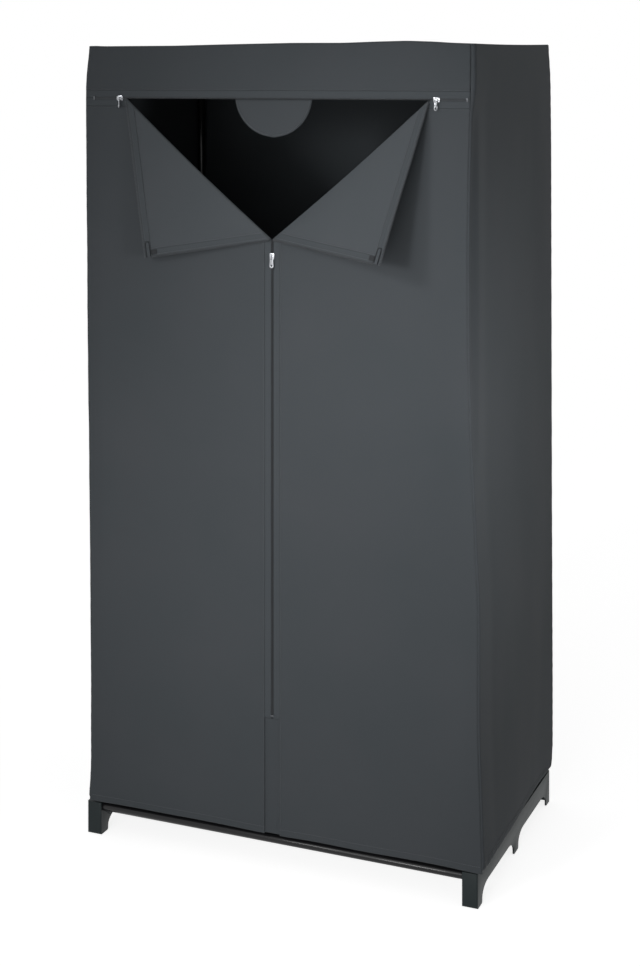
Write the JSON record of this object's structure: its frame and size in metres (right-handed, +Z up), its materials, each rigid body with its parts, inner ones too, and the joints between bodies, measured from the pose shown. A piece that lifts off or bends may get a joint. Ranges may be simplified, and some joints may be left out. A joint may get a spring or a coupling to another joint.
{
  "type": "fabric wardrobe",
  "caption": "Portable fabric wardrobe: a round tube frame in moulded sides with feet, under a zipped cloth cover whose upper front corners fold open.",
  "frame": {"origin": "on the floor, below the middle of the bounding box of the whole part at rest", "axes": "+Z up, +X to the right seen from the front, the zipped front towards -Y"},
  "size_m": [0.786, 0.5712, 1.5],
  "materials": {
    "cloth": "matte anthracite cloth, smooth and fine",
    "zip_tape": "dark woven zip tape with moulded teeth",
    "tab": "black woven band",
    "tube": "gloss black",
    "moulding": "satin black",
    "slider_metal": "bright nickel"
  },
  "bodies": {
    "wardrobe": {"base_side_left": "moulding", "top_side_left": "moulding", "base_side_right": "moulding", "top_side_right": "moulding", "lower_post_front_left": "tube", "upper_post_front_left": "tube", "post_sleeve_front_left": "moulding", "lower_post_back_left": "tube", "upper_post_back_left": "tube", "post_sleeve_back_left": "moulding", "lower_post_front_right": "tube", "upper_post_front_right": "tube", "post_sleeve_front_right": "moulding", "lower_post_back_right": "tube", "upper_post_back_right": "tube", "post_sleeve_back_right": "moulding", "bottom_tube_front": "tube", "top_tube_front": "tube", "bottom_tube_back": "tube", "top_tube_back": "tube", "hanging_rail": "tube", "cover_front_left": "cloth", "cover_side_left": "cloth", "cover_front_right": "cloth", "cover_side_right": "cloth", "cover_back": "cloth", "cover_roof": "cloth", "cover_header": "cloth", "cover_placket": "cloth", "cover_tongue": "cloth", "centre_zip_left": "zip_tape", "header_zip_lower_left": "zip_tape", "header_stop_left": "slider_metal", "centre_zip_right": "zip_tape", "header_zip_lower_right": "zip_tape", "header_stop_right": "slider_metal", "header_zip_upper": "zip_tape", "centre_stop": "slider_metal"},
    "flap_left": {"flap_left_cloth": "cloth", "flap_left_side_zip": "zip_tape", "flap_left_top_zip": "zip_tape", "flap_left_long_tab": "tab", "flap_left_short_tab": "tab"},
    "flap_right": {"flap_right_cloth": "cloth", "flap_right_side_zip": "zip_tape", "flap_right_top_zip": "zip_tape", "flap_right_long_tab": "tab", "flap_right_short_tab": "tab"},
    "slider_centre": {"centre_slider": "slider_metal"},
    "slider_left": {"header_slider_left": "slider_metal"},
    "slider_right": {"header_slider_right": "slider_metal"},
    "pull_centre": {"centre_pull": "slider_metal"},
    "pull_left": {"header_pull_left": "slider_metal"},
    "pull_right": {"header_pull_right": "slider_metal"}
  },
  "joints": [
    {"name": "flap_left_fold", "type": "hinge", "parent": "wardrobe", "child": "flap_left", "pos_m": [0, -0.20073, 1.144], "axis": [-0.7626, 0, 0.6468], "range_deg": [0, 176]},
    {"name": "flap_right_fold", "type": "hinge", "parent": "wardrobe", "child": "flap_right", "pos_m": [0, -0.20073, 1.144], "axis": [-0.7626, 0, -0.6468], "range_deg": [0, 155]},
    {"name": "centre_zip_slide", "type": "slide", "parent": "wardrobe", "child": "slider_centre", "axis": [0, 0, 1], "range_m": [-0.826, 0.265]},
    {"name": "header_zip_slide_left", "type": "slide", "parent": "wardrobe", "child": "slider_left", "axis": [1, 0, 0], "range_m": [-0.047, 0.301]},
    {"name": "header_zip_slide_right", "type": "slide", "parent": "wardrobe", "child": "slider_right", "axis": [-1, 0, 0], "range_m": [-0.047, 0.301]},
    {"name": "centre_pull_swing", "type": "hinge", "parent": "slider_centre", "child": "pull_centre", "pos_m": [0, -0.20353, 1.115], "axis": [-1, 0, 0], "range_deg": [0, 170]},
    {"name": "header_pull_swing_left", "type": "hinge", "parent": "slider_left", "child": "pull_left", "pos_m": [-0.315, -0.20644, 1.401], "axis": [-1, 0, 0], "range_deg": [0, 160]},
    {"name": "header_pull_swing_right", "type": "hinge", "parent": "slider_right", "child": "pull_right", "pos_m": [0.315, -0.20644, 1.401], "axis": [-1, 0, 0], "range_deg": [0, 160]}
  ]
}
